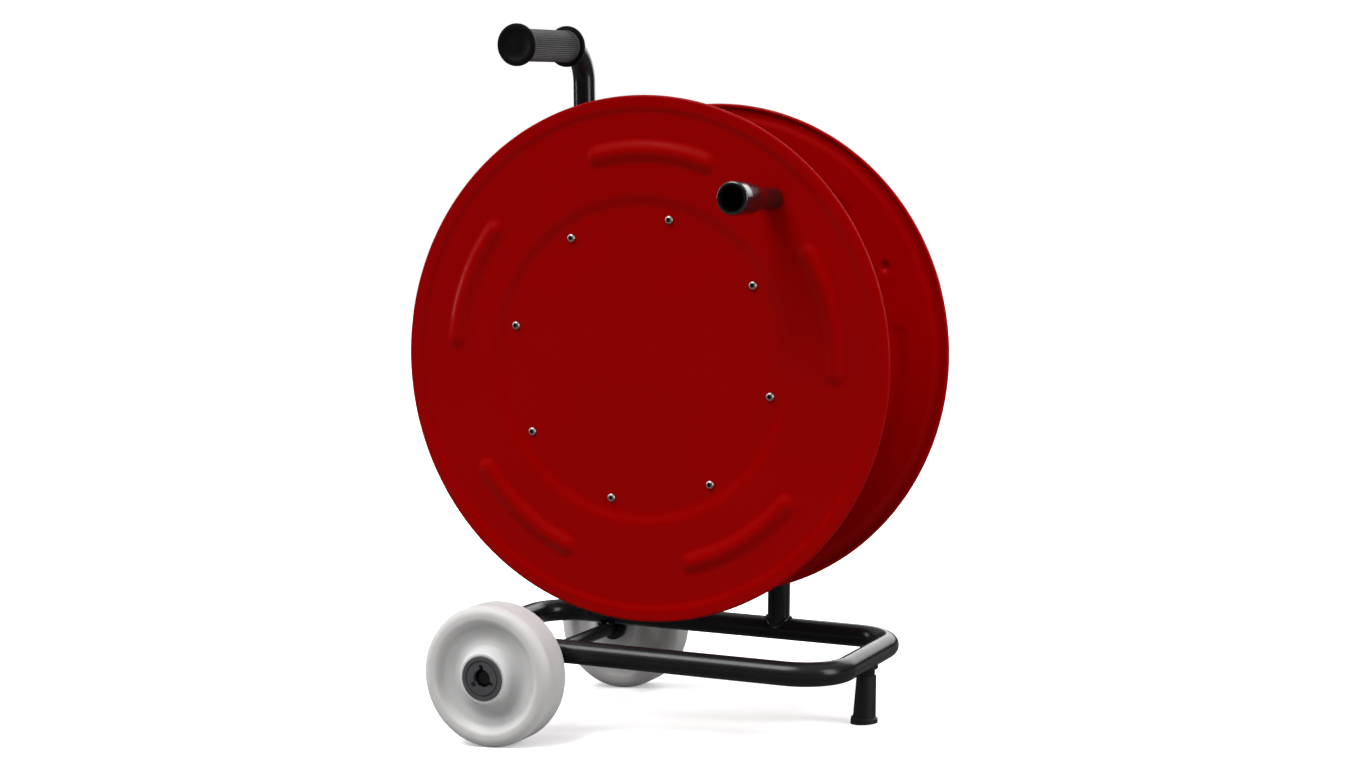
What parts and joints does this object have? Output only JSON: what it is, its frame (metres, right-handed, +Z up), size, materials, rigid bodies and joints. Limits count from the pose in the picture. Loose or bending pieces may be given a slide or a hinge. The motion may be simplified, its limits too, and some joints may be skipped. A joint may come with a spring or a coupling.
{
  "type": "garden hose reel cart",
  "caption": "Wheeled garden hose reel cart: red pressed-steel drum with crank knob on a bent black tube frame, with white plastic wheels, a foot and an upright grip",
  "frame": {"origin": "on the floor under the middle of the drum, centre of the bounding box's bottom face", "axes": "+Z up, X along the ground rails with the foot at +X and the wheels at -X, Y along the drum's axis with the crank on the -Y side"},
  "size_m": [0.582, 0.437, 0.8211],
  "materials": {
    "paint": "gloss red powder coat",
    "tube": "satin black powder coat",
    "polyamide": "natural white moulded",
    "grey_plastic": "moulded",
    "black_plastic": "moulded",
    "gloss_black": "polished",
    "grip": "ribbed",
    "rubber": "moulded",
    "zinc": "bright zinc plate",
    "spring_steel": "oiled",
    "brass": "machined"
  },
  "bodies": {
    "frame": {"base_loop": "tube", "side_post": "tube", "handle_upright": "tube", "leg_tube": "tube", "hub_plate": "tube", "foot_cap": "rubber", "handle_grip": "grip", "wheel_axle": "tube", "axle_spacers": "black_plastic", "axle_clips": "spring_steel", "spindle": "zinc", "spindle_collar": "zinc", "thrust_washers": "black_plastic", "spindle_circlip": "spring_steel", "inlet_seal": "rubber", "inlet_adaptor": "brass"},
    "drum": {"near_flange": "paint", "far_flange": "paint", "drum_barrel": "paint", "inner_disc": "paint", "hub_tube": "paint", "near_hub_bush": "black_plastic", "far_hub_bush": "black_plastic", "near_flange_screws": "zinc", "far_flange_screws": "zinc", "near_flange_nuts": "zinc", "far_flange_nuts": "zinc", "knob_bolt": "spring_steel", "knob_washer": "zinc", "knob_nut": "zinc", "swivel_elbow": "brass", "swivel_o_rings": "rubber", "riser_pipe": "brass", "bulkhead_nut": "brass", "outlet_elbow": "brass"},
    "knob": {"crank_knob": "gloss_black"},
    "near_wheel_body": {"near_wheel": "polyamide", "near_wheel_cover": "grey_plastic", "near_wheel_bush": "black_plastic"},
    "far_wheel_body": {"far_wheel": "polyamide", "far_wheel_cover": "grey_plastic", "far_wheel_bush": "black_plastic"}
  },
  "joints": [
    {"name": "drum_spin", "type": "hinge", "parent": "frame", "child": "drum", "pos_m": [0, 0, 0.424], "axis": [0, 1, 0], "continuous": true},
    {"name": "crank_knob_spin", "type": "hinge", "parent": "drum", "child": "knob", "pos_m": [0.16758, -0.16, 0.59158], "axis": [0, 1, 0], "continuous": true},
    {"name": "near_wheel_spin", "type": "hinge", "parent": "frame", "child": "near_wheel_body", "pos_m": [-0.17693, -0.1545, 0.08], "axis": [0, 1, 0], "continuous": true},
    {"name": "far_wheel_spin", "type": "hinge", "parent": "frame", "child": "far_wheel_body", "pos_m": [-0.17693, 0.1875, 0.08], "axis": [0, 1, 0], "continuous": true}
  ]
}
